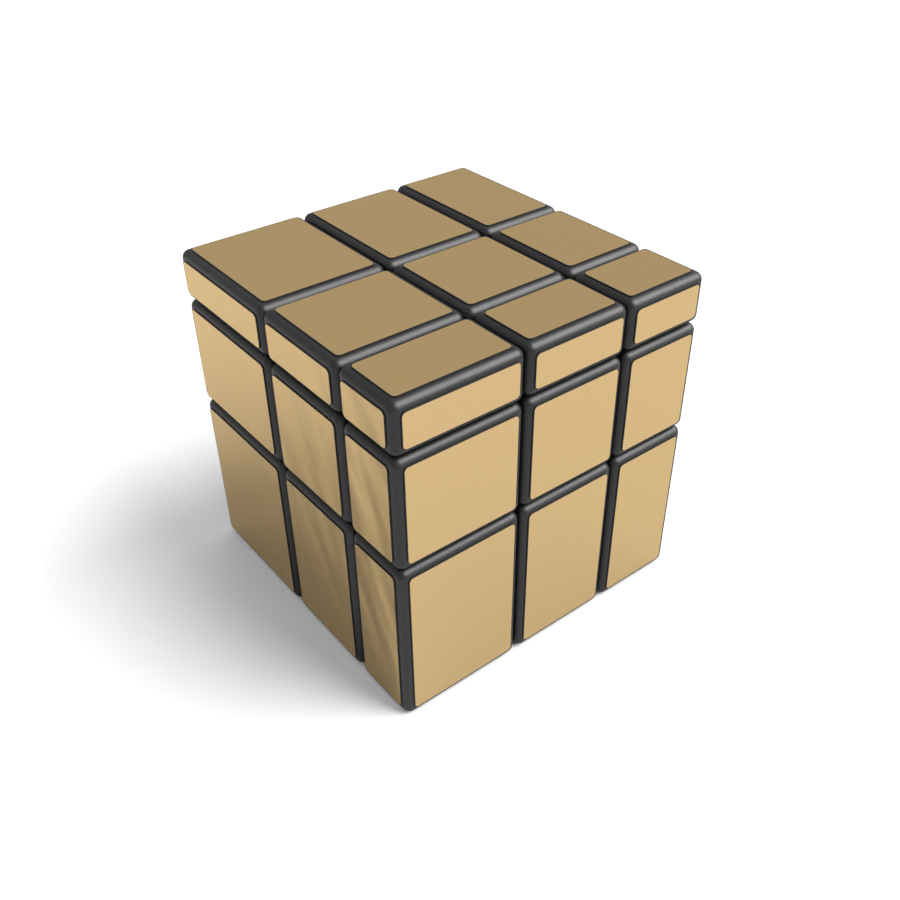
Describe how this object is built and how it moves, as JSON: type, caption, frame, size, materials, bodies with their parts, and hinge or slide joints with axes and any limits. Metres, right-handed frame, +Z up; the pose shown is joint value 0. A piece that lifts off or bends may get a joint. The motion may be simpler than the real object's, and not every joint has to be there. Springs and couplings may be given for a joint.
{
  "type": "mirror block cube puzzle",
  "caption": "Turning cube puzzle of gold-faced black blocks whose layers differ in thickness, with feet, springs and screws round an off-centre core.",
  "frame": {"origin": "middle of the bottom face, over the labels", "axes": "+Z up, the turning axis of the top and bottom layers; -Y front, the face of the thin front layer; +X right, the side of the thin right layer"},
  "size_m": [0.057, 0.057, 0.057],
  "materials": {
    "shell_plastic": "satin black moulded plastic, lightly polished",
    "foot_plastic": "plain black moulded plastic",
    "gold_label": "satin gold metallised film",
    "zinc_steel": "bright zinc plate",
    "spring_steel": "plain spring steel"
  },
  "bodies": {
    "middle_layer": {"edge_shell_front_left": "shell_plastic", "edge_foot_front_left": "foot_plastic", "edge_shell_front_right": "shell_plastic", "edge_foot_front_right": "foot_plastic", "edge_shell_back_left": "shell_plastic", "edge_foot_back_left": "foot_plastic", "edge_shell_back_right": "shell_plastic", "edge_foot_back_right": "foot_plastic", "centre_base_front": "foot_plastic", "centre_cap_front": "shell_plastic", "centre_base_back": "foot_plastic", "centre_cap_back": "shell_plastic", "centre_base_left": "foot_plastic", "centre_cap_left": "shell_plastic", "centre_base_right": "foot_plastic", "centre_cap_right": "shell_plastic", "core": "foot_plastic", "screws": "zinc_steel", "washers": "zinc_steel", "springs": "spring_steel", "labels_middle_layer": "gold_label"},
    "top_layer": {"corner_shell_top_front_left": "shell_plastic", "corner_foot_top_front_left": "foot_plastic", "corner_shell_top_front_right": "shell_plastic", "corner_foot_top_front_right": "foot_plastic", "corner_shell_top_back_left": "shell_plastic", "corner_foot_top_back_left": "foot_plastic", "corner_shell_top_back_right": "shell_plastic", "corner_foot_top_back_right": "foot_plastic", "edge_shell_top_front": "shell_plastic", "edge_foot_top_front": "foot_plastic", "edge_shell_top_left": "shell_plastic", "edge_foot_top_left": "foot_plastic", "edge_shell_top_right": "shell_plastic", "edge_foot_top_right": "foot_plastic", "edge_shell_top_back": "shell_plastic", "edge_foot_top_back": "foot_plastic", "centre_base_top": "foot_plastic", "centre_cap_top": "shell_plastic", "labels_top_layer": "gold_label"},
    "bottom_layer": {"corner_shell_bottom_front_left": "shell_plastic", "corner_foot_bottom_front_left": "foot_plastic", "corner_shell_bottom_front_right": "shell_plastic", "corner_foot_bottom_front_right": "foot_plastic", "corner_shell_bottom_back_left": "shell_plastic", "corner_foot_bottom_back_left": "foot_plastic", "corner_shell_bottom_back_right": "shell_plastic", "corner_foot_bottom_back_right": "foot_plastic", "edge_shell_bottom_front": "shell_plastic", "edge_foot_bottom_front": "foot_plastic", "edge_shell_bottom_left": "shell_plastic", "edge_foot_bottom_left": "foot_plastic", "edge_shell_bottom_right": "shell_plastic", "edge_foot_bottom_right": "foot_plastic", "edge_shell_bottom_back": "shell_plastic", "edge_foot_bottom_back": "foot_plastic", "centre_base_bottom": "foot_plastic", "centre_cap_bottom": "shell_plastic", "labels_bottom_layer": "gold_label"}
  },
  "joints": [
    {"name": "top_layer_turn", "type": "hinge", "parent": "middle_layer", "child": "top_layer", "pos_m": [0.003, -0.0065, 0.039], "axis": [0, 0, 1], "continuous": true},
    {"name": "bottom_layer_turn", "type": "hinge", "parent": "middle_layer", "child": "bottom_layer", "pos_m": [0.003, -0.0065, 0.039], "axis": [0, 0, 1], "continuous": true}
  ]
}
